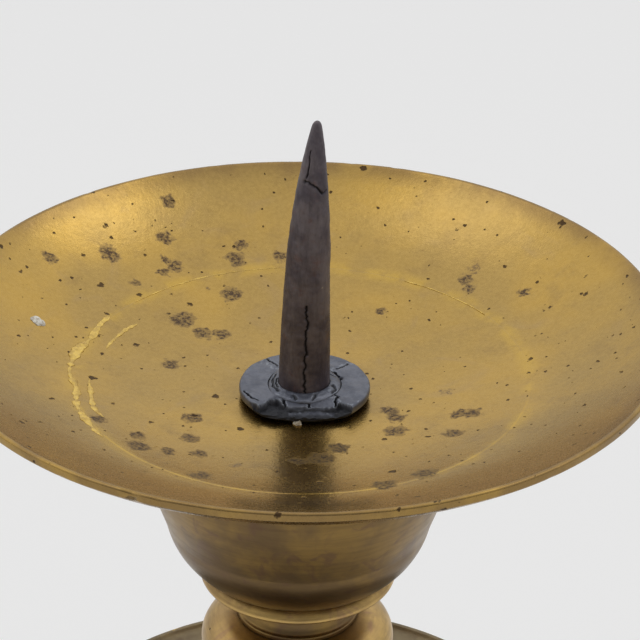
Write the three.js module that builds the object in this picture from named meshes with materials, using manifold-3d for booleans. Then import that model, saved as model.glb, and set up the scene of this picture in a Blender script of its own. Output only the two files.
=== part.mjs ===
// Altar candlestick of turned and cast brass, with an iron pricket for the candle.
// Every section is bored through and threaded on one iron tie rod. The pricket screws onto
// the rod's top end and clamps the drip pan; a nut under the bridge bar pulls the stack tight.
// Millimetres, +Z up, origin on the floor under the centre of the base.
import * as THREE from "three";
import { mergeVertices } from "three/addons/utils/BufferGeometryUtils.js";
import Module from "manifold-3d";

// ---- driving dimensions ----------------------------------------------------------------
const RIM_Z = 400; // top of the drip pan's rim
const PAN_R = 80; // radius of the drip pan
const PAN_DEPTH = 19; // rim to the pan's flat centre
const PAN_WALL = 2.2;
const PAN_RING_R = 50.5; // where the flat part of the pan turns up into the flared brim
const PAN_RING_RISE = 5.5; // height of that turn above the pan's centre
const SEAT_R = 40; // thick flat land under the pan, which sits on the cup
const SEAT_DROP = 2.6; // thickness of the pan at its centre

const SPIKE_R = 5.6; // pricket at its foot
const SPIKE_H = 67; // pricket from the pan to its tip
const SPIKE_TIP_R = 1.1;
const SPIKE_BEND = 2.2; // how far the tip is bent over, towards +X
const SPIKE_BEND_CURVE = 1.8; // 1 is a straight lean, more is a bend nearer the tip
const PRICKET_OFFSET = 0.45; // the pricket and its washer sit a little off the axis
const WASHER_R = 14.5;
const WASHER_H = 3;
const WASHER_HOLE_R = 8.1;
const WASHER_CHORD = 11; // the washer's front edge has broken away along this chord

const STACK_OFFSET = -0.45; // the cup, collar, neck and knop sit a little off the rod
const CUP_TOP_R = 38;
const CUP_WAIST_R = 30.1; // where the flared top of the cup meets its rounded bottom
const CUP_WAIST_H = 13.1; // height of that place above the cup's foot
const CUP_FOOT_R = 21;
const CUP_H = 40.8;
const CUP_CORE_R = 21; // radius of the hollow cast in the cup
const CUP_FLOOR = 12;
const COLLAR_R = 22.3;
const COLLAR_H = 2.9;
const NECK_H = 10.5;
const KNOP_R = 22.1;
const KNOP_H = 13.8;
const TRUMPET_H = 23.4;
const DISC_R = 59; // the second, smaller drip disc on the stem
const DISC_HUB_H = 8;
const RING_H = 6;
const BALUSTER_R = 26;
const BALUSTER_H = 127;
const BALUSTER_WALL = 4;
const LOWER_RING_H = 7;
const LOWER_KNOP_R = 29;
const LOWER_KNOP_H = 26;
const BASE_NECK_H = 14;
const DOME_R = 93;
const DOME_WALL = 4;
const BASE_R = 95;
const BASE_RING_H = 6;
const BASE_RING_HOLE_R = 60;

const FOOT_R = 13;
const FOOT_H = 21;
const FOOT_CIRCLE_R = 72;
const FOOT_STUD_R = 3;
const FOOT_NUT_W = 11;
const FOOT_NUT_H = 4;
const FOOT_COUNT = 3;

const ROD_R = 4;
const ROD_END_Z = 5; // lower end of the tie rod, clear of the floor
const ROD_TIP_R = 3; // the rod's thinner top end, which enters the pricket
const SOCKET_CLEARANCE = 1.2;
const ROD_TIP_IN_SPIKE = 11;
const BORE_R = 4.7; // bore through every section on the rod
const BRIDGE_L = 140;
const BRIDGE_W = 18;
const BRIDGE_H = 6;
const ROD_WASHER_R = 11;
const ROD_WASHER_H = 1.6;
const ROD_NUT_W = 16;
const ROD_NUT_H = 6;
const NUT_CLEARANCE = 0.4; // between a nut's hole and what it screws onto
const PACKING_GAP = 0.3; // around the packing between the pricket and the washer

// ---- heights, worked down from the rim and up from the floor ----------------------------
const panFloorZ = RIM_Z - PAN_DEPTH;
const panSeatZ = panFloorZ - SEAT_DROP;
const cupZ = panSeatZ - CUP_H;
const collarZ = cupZ - COLLAR_H;
const neckZ = collarZ - NECK_H;
const knopZ = neckZ - KNOP_H;
const trumpetZ = knopZ - TRUMPET_H;
const discZ = trumpetZ - DISC_HUB_H;
const ringZ = discZ - RING_H;
const balusterZ = ringZ - BALUSTER_H;
const lowerRingZ = balusterZ - LOWER_RING_H;
const lowerKnopZ = lowerRingZ - LOWER_KNOP_H;
const baseNeckZ = lowerKnopZ - BASE_NECK_H;
const domeZ = FOOT_H + BASE_RING_H;

// ---- segments round each turned piece ---------------------------------------------------
const FINE = 36;
const MEDIUM = 24;
const COARSE = 14;

const brass = new THREE.MeshStandardMaterial({ color: 0xa88244, roughness: 0.35, metalness: 1 });
const dullBrass = new THREE.MeshStandardMaterial({ color: 0x7d6038, roughness: 0.5, metalness: 1 });
const forgedIron = new THREE.MeshStandardMaterial({ color: 0x3a302d, roughness: 0.7, metalness: 0.8 });
const lead = new THREE.MeshStandardMaterial({ color: 0x4c505a, roughness: 0.55, metalness: 0.7 });
const darkIron = new THREE.MeshStandardMaterial({ color: 0x46423e, roughness: 0.65, metalness: 0.9 });

const group = new THREE.Group();
const wasm = await Module();
wasm.setup();

// ---- helpers ----------------------------------------------------------------------------

// Adds a named mesh to the candlestick.
function add(name, geometry, material, x = 0, y = 0, z = 0) {
  const mesh = new THREE.Mesh(geometry, material);
  mesh.name = name;
  mesh.position.set(x, y, z);
  group.add(mesh);
  return mesh;
}

// Turns an outline of (radius, height) about the Z axis. The outline runs anticlockwise, so
// up its outer side and down its inner side, and it is closed here if it is off the axis.
function turned(outline, steps, segments) {
  const points = outline.getPoints(steps);
  const first = points[0];
  const last = points[points.length - 1];
  if (first.x > 0 && first.distanceTo(last) > 1e-6) points.push(first.clone());
  return new THREE.LatheGeometry(points, segments).rotateX(Math.PI / 2);
}

// Starts an outline at the foot of a bored piece, and runs out along its lower face.
function boredFrom(z, radius, bore = BORE_R) {
  return new THREE.Path().moveTo(bore, z).lineTo(radius, z);
}

// Ends an outline along the top face of a bored piece and down its bore.
function boredTo(outline, z, foot, bore = BORE_R) {
  return outline.lineTo(bore, z).lineTo(bore, foot);
}

// A closed mesh as a manifold-3d solid.
function toSolid(geometry) {
  const bare = geometry.clone().deleteAttribute("normal").deleteAttribute("uv");
  const merged = mergeVertices(bare, 1e-4);
  const vertProperties = merged.attributes.position.array;
  const triVerts = new Uint32Array(merged.index.array);
  return new wasm.Manifold(new wasm.Mesh({ numProp: 3, vertProperties, triVerts }));
}

// A manifold-3d solid as a geometry.
function toGeometry(solid) {
  const mesh = solid.getMesh();
  const geometry = new THREE.BufferGeometry();
  geometry.setAttribute("position", new THREE.BufferAttribute(mesh.vertProperties, 3));
  geometry.setIndex(new THREE.BufferAttribute(mesh.triVerts, 1));
  geometry.computeVertexNormals();
  return geometry;
}

// A flat plate with a round hole through it, standing on z = 0.
function platedHole(shape, holeR, height, curveSegments = 12) {
  shape.holes.push(new THREE.Path().absarc(0, 0, holeR, 0, 2 * Math.PI, true));
  return new THREE.ExtrudeGeometry(shape, { depth: height, bevelEnabled: false, curveSegments });
}

// A rectangle about the origin.
function rectangle(width, depth) {
  return new THREE.Shape()
    .moveTo(-width / 2, -depth / 2)
    .lineTo(width / 2, -depth / 2)
    .lineTo(width / 2, depth / 2)
    .lineTo(-width / 2, depth / 2)
    .closePath();
}

// ---- the pricket and what clamps the pan ------------------------------------------------

// The forged spike: a long taper with a blunt tip, bent over slightly, and a blind socket
// in its foot for the tie rod.
function pricketSpike() {
  const socketR = ROD_TIP_R + SOCKET_CLEARANCE;
  const socketH = ROD_TIP_IN_SPIKE + 2;
  const tipR = SPIKE_TIP_R;
  const shoulderZ = SPIKE_H - 1.6;
  const outline = new THREE.Path()
    .moveTo(0, socketH)
    .lineTo(socketR, socketH)
    .lineTo(socketR, 0)
    .lineTo(SPIKE_R, 0)
    .lineTo(SPIKE_R, WASHER_H)
    .bezierCurveTo(SPIKE_R * 0.97, SPIKE_H * 0.4, SPIKE_R * 0.8, SPIKE_H * 0.72, tipR, shoulderZ)
    .quadraticCurveTo(tipR * 0.8, SPIKE_H, 0, SPIKE_H);
  const geometry = turned(outline, 7, COARSE);
  const position = geometry.attributes.position;
  for (let i = 0; i < position.count; i++) {
    const rise = Math.max(0, position.getZ(i) - socketH) / (SPIKE_H - socketH);
    position.setX(i, position.getX(i) + SPIKE_BEND * rise ** SPIKE_BEND_CURVE);
  }
  return geometry;
}

// The washer round the pricket's foot, with its front edge broken off flat.
function flangeWasher() {
  const half = Math.acos(WASHER_CHORD / WASHER_R);
  const start = -Math.PI / 2 + half;
  const sweep = 2 * (Math.PI - half);
  const shape = new THREE.Shape().absarc(0, 0, WASHER_R, start, start + sweep, false);
  return platedHole(shape.closePath(), WASHER_HOLE_R, WASHER_H, 12);
}

// The ring of packing that fills the washer's hole round the pricket.
function collarPacking() {
  const inner = SPIKE_R + PACKING_GAP;
  const outer = WASHER_HOLE_R - PACKING_GAP;
  const lip = WASHER_H + 0.8;
  const outline = new THREE.Path()
    .moveTo(inner, 0)
    .lineTo(outer, 0)
    .lineTo(outer, WASHER_H)
    .quadraticCurveTo(outer, lip, outer - 0.9, lip)
    .lineTo(inner, lip);
  return turned(outline, 3, COARSE);
}

// ---- the pan and the cup under it -------------------------------------------------------

// The drip pan: a nearly flat centre, a flared brim and a plain square-edged rim.
function dripPan() {
  const ringZ = panFloorZ + PAN_RING_RISE;
  const flatR = WASHER_R + 2;
  const rimR = PAN_R - 1;
  const under = RIM_Z - 2;
  const outline = new THREE.Path()
    .moveTo(BORE_R, panSeatZ)
    .lineTo(SEAT_R, panSeatZ)
    .quadraticCurveTo(SEAT_R + 3, panSeatZ + 0.3, SEAT_R + 5, panSeatZ + 2)
    .lineTo(PAN_RING_R, ringZ - PAN_WALL)
    .bezierCurveTo(PAN_R * 0.76, ringZ - 0.4, PAN_R * 0.9, RIM_Z - 8.4, PAN_R, under)
    .lineTo(PAN_R, RIM_Z - 0.3)
    .lineTo(PAN_R - 0.3, RIM_Z)
    .lineTo(rimR, RIM_Z)
    .bezierCurveTo(PAN_R * 0.885, RIM_Z - 6, PAN_R * 0.75, ringZ + 2, PAN_RING_R, ringZ)
    .bezierCurveTo(PAN_RING_R * 0.8, ringZ - 3, PAN_RING_R * 0.55, panFloorZ, flatR, panFloorZ)
    .lineTo(BORE_R, panFloorZ);
  return turned(outline, 4, FINE);
}

// The cup that carries the pan: flared at the top, rounded under, and cored out from above.
function bellCup() {
  const floorZ = cupZ + CUP_FLOOR;
  const waistZ = cupZ + CUP_WAIST_H;
  const outline = boredFrom(cupZ, CUP_FOOT_R)
    .bezierCurveTo(CUP_FOOT_R + 4.6, cupZ + 3, CUP_WAIST_R - 1, waistZ - 5.5, CUP_WAIST_R, waistZ)
    .bezierCurveTo(CUP_WAIST_R + 1.7, waistZ + 5.3, CUP_TOP_R - 2, waistZ + 15.3, CUP_TOP_R, panSeatZ)
    .lineTo(CUP_CORE_R, panSeatZ)
    .lineTo(CUP_CORE_R, floorZ + 6)
    .quadraticCurveTo(CUP_CORE_R, floorZ, CUP_CORE_R - 6, floorZ);
  return turned(boredTo(outline, floorZ, cupZ), 5, MEDIUM);
}

// The thin fillet under the cup, wider at its foot.
function cupCollar() {
  const edgeZ = collarZ + 0.5;
  const outline = boredFrom(collarZ, COLLAR_R - 0.3)
    .lineTo(COLLAR_R, edgeZ)
    .quadraticCurveTo(COLLAR_R - 0.2, edgeZ + 1.6, CUP_FOOT_R - 0.3, cupZ);
  return turned(boredTo(outline, cupZ, collarZ), 3, MEDIUM);
}

// A waisted spacer between two wider sections.
function spool(z, height, footR, waistR, headR, steps, segments) {
  const land = height * 0.12;
  const top = z + height;
  const outline = boredFrom(z, footR)
    .lineTo(footR, z + land)
    .bezierCurveTo(waistR, z + land, waistR, z + height * 0.45, waistR, z + height * 0.6)
    .quadraticCurveTo(waistR, top - land, headR, top - land)
    .lineTo(headR, top);
  return turned(boredTo(outline, top, z), steps, segments);
}

// A flattened ball with a flat land at its foot and head.
function knop(z, height, radius, landR, steps, segments) {
  const top = z + height;
  const middle = z + height / 2;
  const outline = boredFrom(z, landR)
    .bezierCurveTo(radius * 0.86, z, radius, z + height * 0.2, radius, middle)
    .bezierCurveTo(radius, top - height * 0.2, radius * 0.86, top, landR, top);
  return turned(boredTo(outline, top, z), steps, segments);
}

// The second drip disc: a hub, a gently falling plate and a low turned-up lip.
function dripDisc() {
  const hubR = 24;
  const lipZ = RIM_Z - 115.6;
  const plateZ = lipZ - 1.4;
  const plate = 2;
  const outline = boredFrom(discZ, hubR)
    .quadraticCurveTo(hubR + 2, plateZ - plate - 1.2, DISC_R * 0.62, plateZ - plate - 0.6)
    .lineTo(DISC_R - 5, plateZ - plate)
    .quadraticCurveTo(DISC_R - 1, plateZ - plate + 0.2, DISC_R, lipZ - 1.6)
    .lineTo(DISC_R, lipZ)
    .lineTo(DISC_R - 1, lipZ)
    .quadraticCurveTo(DISC_R - 3, plateZ, DISC_R - 6, plateZ)
    .lineTo(DISC_R * 0.62, plateZ + 0.6)
    .quadraticCurveTo(hubR + 2, plateZ + 1.2, hubR, trumpetZ);
  return turned(boredTo(outline, trumpetZ, discZ), 2, FINE);
}

// A half-round ring between two sections.
function beadRing(z, height, radius, landR, steps) {
  const top = z + height;
  const outline = boredFrom(z, landR)
    .bezierCurveTo(radius + 0.6, z, radius + 0.6, top, landR, top);
  return turned(boredTo(outline, top, z), steps, MEDIUM);
}

// The hollow pear-shaped baluster that makes most of the stem.
function baluster() {
  const z = balusterZ;
  const h = BALUSTER_H;
  const r = BALUSTER_R;
  const headR = 15;
  const neckR = 11;
  const footR = 17;
  const wall = BALUSTER_WALL;
  const outline = boredFrom(z, footR)
    .lineTo(footR, z + h * 0.03)
    .quadraticCurveTo(footR * 0.72, z + h * 0.04, footR * 0.76, z + h * 0.08)
    .bezierCurveTo(r * 0.8, z + h * 0.14, r, z + h * 0.22, r, z + h * 0.34)
    .bezierCurveTo(r, z + h * 0.56, neckR + 1, z + h * 0.66, neckR, z + h * 0.9)
    .quadraticCurveTo(neckR, z + h * 0.955, headR, z + h * 0.965)
    .lineTo(headR, ringZ)
    .lineTo(BORE_R, ringZ)
    .lineTo(BORE_R, z + h * 0.78)
    .bezierCurveTo(neckR + 1 - wall, z + h * 0.64, r - wall, z + h * 0.54, r - wall, z + h * 0.34)
    .bezierCurveTo(r - wall, z + h * 0.26, r * 0.8 - wall, z + h * 0.18, BORE_R, z + h * 0.12);
  outline.lineTo(BORE_R, z);
  return turned(outline, 3, MEDIUM);
}

// ---- the base ---------------------------------------------------------------------------

// The hollow bell-shaped base: a rounded shoulder, a hollow throat and a spreading foot.
function baseDome() {
  const top = baseNeckZ;
  const foot = domeZ;
  const h = top - foot;
  const w = DOME_WALL;
  const outline = new THREE.Path()
    .moveTo(DOME_R - w - 3, foot)
    .lineTo(DOME_R, foot)
    .lineTo(DOME_R, foot + 3)
    .quadraticCurveTo(DOME_R - 1, foot + 7, DOME_R * 0.93, foot + 8)
    .bezierCurveTo(DOME_R * 0.76, foot + 11, DOME_R * 0.66, foot + h * 0.3, DOME_R * 0.62, foot + h * 0.5)
    .lineTo(DOME_R * 0.65, foot + h * 0.53)
    .lineTo(DOME_R * 0.65, foot + h * 0.57)
    .bezierCurveTo(
      DOME_R * 0.6, foot + h * 0.86, DOME_R * 0.44, foot + h * 0.9, DOME_R * 0.26, foot + h * 0.92,
    )
    .lineTo(DOME_R * 0.24, top)
    .lineTo(BORE_R, top)
    .lineTo(BORE_R, top - w * 2)
    .lineTo(DOME_R * 0.26, foot + h * 0.92 - w)
    .bezierCurveTo(
      DOME_R * 0.42, foot + h * 0.9 - w, DOME_R * 0.56, foot + h * 0.8, DOME_R * 0.58, foot + h * 0.5,
    )
    .bezierCurveTo(DOME_R * 0.6, foot + h * 0.26, DOME_R * 0.76, foot + 6, DOME_R - w - 3, foot + 4)
    .lineTo(DOME_R - w - 3, foot);
  return turned(outline, 3, FINE);
}

// The flat ring under the dome, with a moulded edge and a hole for each foot's stud.
function baseRing() {
  const outline = new THREE.Path()
    .moveTo(BASE_RING_HOLE_R, FOOT_H)
    .lineTo(BASE_R - 2, FOOT_H)
    .quadraticCurveTo(BASE_R, FOOT_H, BASE_R, FOOT_H + BASE_RING_H / 2)
    .quadraticCurveTo(BASE_R, domeZ, BASE_R - 2, domeZ)
    .lineTo(BASE_RING_HOLE_R, domeZ);
  let ring = toSolid(turned(outline, 3, FINE));
  for (let i = 0; i < FOOT_COUNT; i++) {
    const [x, y] = footPlace(i);
    const drill = new THREE.CylinderGeometry(FOOT_STUD_R + 0.3, FOOT_STUD_R + 0.3, 30, 12);
    drill.rotateX(Math.PI / 2).translate(x, y, FOOT_H);
    ring = ring.subtract(toSolid(drill));
  }
  return toGeometry(ring);
}

// Where foot i stands. The first is at the back, and the bridge bar runs clear of them.
function footPlace(i) {
  const angle = Math.PI / 2 + (i * 2 * Math.PI) / FOOT_COUNT;
  return [FOOT_CIRCLE_R * Math.cos(angle), FOOT_CIRCLE_R * Math.sin(angle)];
}

// A turned bun foot with a neck and a stud that goes up through the base ring.
function bunFoot() {
  const padR = 7;
  const neckR = 7.5;
  const studTop = domeZ + FOOT_NUT_H + 1;
  const outline = new THREE.Path()
    .moveTo(0, 0)
    .lineTo(padR, 0)
    .bezierCurveTo(FOOT_R * 0.92, 0, FOOT_R, FOOT_H * 0.16, FOOT_R, FOOT_H * 0.36)
    .bezierCurveTo(FOOT_R, FOOT_H * 0.6, FOOT_R * 0.8, FOOT_H * 0.7, neckR, FOOT_H * 0.74)
    .lineTo(neckR, FOOT_H * 0.84)
    .lineTo(FOOT_R * 0.78, FOOT_H * 0.88)
    .lineTo(FOOT_R * 0.78, FOOT_H)
    .lineTo(FOOT_STUD_R, FOOT_H)
    .lineTo(FOOT_STUD_R, studTop)
    .lineTo(0, studTop);
  return turned(outline, 3, COARSE);
}

// The iron bar across the underside of the base, which the tie rod pulls against.
function bridgeBar() {
  return platedHole(rectangle(BRIDGE_L, BRIDGE_W), BORE_R, BRIDGE_H);
}

// The iron rod through the whole stack, with a thinner top end.
function tieRod() {
  const shoulder = panSeatZ - 4;
  const outline = new THREE.Path()
    .moveTo(0, ROD_END_Z)
    .lineTo(ROD_R - 0.8, ROD_END_Z)
    .lineTo(ROD_R, ROD_END_Z + 0.8)
    .lineTo(ROD_R, shoulder)
    .lineTo(ROD_TIP_R, shoulder)
    .lineTo(ROD_TIP_R, panFloorZ + ROD_TIP_IN_SPIKE)
    .lineTo(0, panFloorZ + ROD_TIP_IN_SPIKE);
  return turned(outline, 1, 16);
}

// ---- assembly ---------------------------------------------------------------------------
add("pricket_spike", pricketSpike(), forgedIron, PRICKET_OFFSET, 0, panFloorZ);
add("flange_washer", flangeWasher(), lead, PRICKET_OFFSET, 0, panFloorZ);
add("collar_packing", collarPacking(), lead, PRICKET_OFFSET, 0, panFloorZ);
add("drip_pan", dripPan(), brass);
add("bell_cup", bellCup(), dullBrass, STACK_OFFSET);
add("cup_collar", cupCollar(), brass, STACK_OFFSET);
add("neck_spool", spool(neckZ, NECK_H, 14, 12.5, 17, 3, MEDIUM), dullBrass, STACK_OFFSET);
add("upper_knop", knop(knopZ, KNOP_H, KNOP_R, 14, 5, MEDIUM), brass, STACK_OFFSET);
add("trumpet_spool", spool(trumpetZ, TRUMPET_H, 22, 11.5, 15, 3, MEDIUM), dullBrass);
add("drip_disc", dripDisc(), dullBrass);
add("disc_ring", beadRing(ringZ, RING_H, 21, 17, 3), brass);
add("baluster", baluster(), brass);
add("baluster_ring", beadRing(lowerRingZ, LOWER_RING_H, 24, 19, 3), brass);
add("lower_knop", knop(lowerKnopZ, LOWER_KNOP_H, LOWER_KNOP_R, 18, 4, MEDIUM), brass);
add("base_neck", spool(baseNeckZ, BASE_NECK_H, 21, 15, 18, 3, MEDIUM), dullBrass);
add("base_dome", baseDome(), brass);
add("base_ring", baseRing(), dullBrass);
for (let i = 0; i < FOOT_COUNT; i++) {
  const [x, y] = footPlace(i);
  const plate = rectangle(FOOT_NUT_W, FOOT_NUT_W);
  const nut = platedHole(plate, FOOT_STUD_R + NUT_CLEARANCE, FOOT_NUT_H, 6);
  add(`foot_${i + 1}`, bunFoot(), brass, x, y, 0);
  add(`foot_nut_${i + 1}`, nut, darkIron, x, y, domeZ);
}
const bridgeZ = FOOT_H - BRIDGE_H;
const rodWasher = new THREE.Shape().absarc(0, 0, ROD_WASHER_R, 0, 2 * Math.PI, false);
const rodNut = rectangle(ROD_NUT_W, ROD_NUT_W);
add("tie_rod", tieRod(), darkIron);
add("bridge_bar", bridgeBar(), darkIron, 0, 0, bridgeZ);
const washerZ = bridgeZ - ROD_WASHER_H;
add("rod_washer", platedHole(rodWasher, BORE_R, ROD_WASHER_H), darkIron, 0, 0, washerZ);
const rodNutGeometry = platedHole(rodNut, ROD_R + NUT_CLEARANCE, ROD_NUT_H, 8);
add("rod_nut", rodNutGeometry, darkIron, 0, 0, washerZ - ROD_NUT_H);

export default group;
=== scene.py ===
"""Altar candlestick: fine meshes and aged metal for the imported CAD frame."""
import itertools
import math

import bmesh
import bpy
import numpy as np
from mathutils import Matrix, Vector


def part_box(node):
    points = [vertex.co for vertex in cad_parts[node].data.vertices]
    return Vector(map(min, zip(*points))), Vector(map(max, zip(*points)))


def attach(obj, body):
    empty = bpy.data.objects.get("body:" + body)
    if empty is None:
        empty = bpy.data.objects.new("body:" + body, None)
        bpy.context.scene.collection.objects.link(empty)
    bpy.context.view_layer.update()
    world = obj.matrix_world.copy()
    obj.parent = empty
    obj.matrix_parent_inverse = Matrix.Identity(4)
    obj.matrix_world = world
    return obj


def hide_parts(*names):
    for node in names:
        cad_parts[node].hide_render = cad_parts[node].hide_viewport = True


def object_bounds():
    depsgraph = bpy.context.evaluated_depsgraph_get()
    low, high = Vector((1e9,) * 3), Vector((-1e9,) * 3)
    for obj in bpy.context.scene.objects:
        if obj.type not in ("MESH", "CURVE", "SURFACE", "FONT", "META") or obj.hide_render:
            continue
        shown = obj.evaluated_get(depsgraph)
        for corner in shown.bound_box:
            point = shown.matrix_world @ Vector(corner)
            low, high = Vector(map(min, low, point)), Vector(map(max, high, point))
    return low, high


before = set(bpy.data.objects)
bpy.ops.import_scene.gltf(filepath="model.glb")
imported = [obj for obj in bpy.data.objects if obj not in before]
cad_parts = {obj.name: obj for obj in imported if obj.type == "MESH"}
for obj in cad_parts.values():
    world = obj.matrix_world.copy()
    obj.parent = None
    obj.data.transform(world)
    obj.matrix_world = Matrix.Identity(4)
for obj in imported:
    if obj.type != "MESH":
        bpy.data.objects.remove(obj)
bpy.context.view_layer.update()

MM = 0.001


# ---------------------------------------------------------------- camera and stage

VIEW_DISTANCE = 0.7        # from the middle of the pan's rim
VIEW_ELEVATION = 28.635    # degrees above the horizon
VIEW_YAW = -0.308
VIEW_ROLL = -0.642
VIEW_LENS = 180.0


def make_camera():
    """Looks along +Y and down at the middle of the pan's rim, turned and rolled by a little."""
    low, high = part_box("drip_pan")
    rim = Vector(((low.x + high.x) / 2, (low.y + high.y) / 2, high.z))
    elevation = math.radians(VIEW_ELEVATION)
    forward = Vector((0, math.cos(elevation), -math.sin(elevation)))
    place = rim - forward * VIEW_DISTANCE
    right = Vector((1, 0, 0))
    up = right.cross(forward)
    yaw = Matrix.Rotation(math.radians(VIEW_YAW), 3, up)
    forward, right = yaw @ forward, yaw @ right
    roll = Matrix.Rotation(math.radians(VIEW_ROLL), 3, forward)
    right, up = roll @ right, roll @ up
    data = bpy.data.cameras.new("camera")
    data.lens = VIEW_LENS
    data.sensor_width = 36
    data.clip_end = 200
    camera = bpy.data.objects.new("camera", data)
    camera.matrix_world = Matrix.Translation(place) @ Matrix((right, up, -forward)).transposed().to_4x4()
    bpy.context.scene.collection.objects.link(camera)
    bpy.context.scene.camera = camera


def area_light(name, place, target, size, power, colour=(1, 1, 1)):
    data = bpy.data.lights.new(name, "AREA")
    data.shape = "DISK"
    data.size = size
    data.energy = power
    data.color = colour
    light = bpy.data.objects.new(name, data)
    light.location = place
    direction = Vector(target) - Vector(place)
    light.rotation_euler = direction.to_track_quat("-Z", "Y").to_euler()
    bpy.context.scene.collection.objects.link(light)


def make_stage():
    """A pale floor, a bright room that darkens low down and in front, and two soft lights."""
    top = (0, 0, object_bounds()[1].z)
    area_light("key", (-0.45, 0.30, 1.5), top, 0.5, 0.5)
    area_light("fill", (0.55, 0.35, 1.4), top, 0.4, 0.55)
    bpy.context.scene.view_settings.view_transform = "Standard"

    mesh = bpy.data.meshes.new("floor")
    reach = 40
    corners = [(-reach, -reach, 0), (reach, -reach, 0), (reach, reach, 0), (-reach, reach, 0)]
    mesh.from_pydata(corners, [], [(0, 1, 2, 3)])
    floor = bpy.data.objects.new("floor", mesh)
    bpy.context.scene.collection.objects.link(floor)
    paint = Shader("floor_paper")
    paint.surface((0.97, 0.97, 0.97), roughness=0.9, metallic=0)
    mesh.materials.append(paint.material)

    world = bpy.data.worlds.new("room")
    world.use_nodes = True
    bpy.context.scene.world = world
    tree = world.node_tree
    back = tree.nodes["Background"]
    place = tree.nodes.new("ShaderNodeTexCoord")
    split = tree.nodes.new("ShaderNodeSeparateXYZ")
    tree.links.new(place.outputs["Generated"], split.inputs[0])
    front = tree.nodes.new("ShaderNodeMapRange")
    front.interpolation_type = "SMOOTHSTEP"
    front.inputs["From Min"].default_value = -0.9
    front.inputs["From Max"].default_value = 0.2
    front.inputs["To Min"].default_value = 0.35
    front.inputs["To Max"].default_value = 1.0
    tree.links.new(split.outputs["Y"], front.inputs["Value"])
    height = tree.nodes.new("ShaderNodeMapRange")
    height.interpolation_type = "SMOOTHSTEP"
    height.inputs["From Min"].default_value = 0.0
    height.inputs["From Max"].default_value = 0.55
    height.inputs["To Min"].default_value = 0.6
    height.inputs["To Max"].default_value = 1.0
    tree.links.new(split.outputs["Z"], height.inputs["Value"])
    both = tree.nodes.new("ShaderNodeMath")
    both.operation = "MULTIPLY"
    tree.links.new(front.outputs[0], both.inputs[0])
    tree.links.new(height.outputs[0], both.inputs[1])
    tree.links.new(both.outputs[0], back.inputs["Strength"])
    back.inputs["Color"].default_value = (1, 1, 1, 1)


# ---------------------------------------------------------------- node materials

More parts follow.
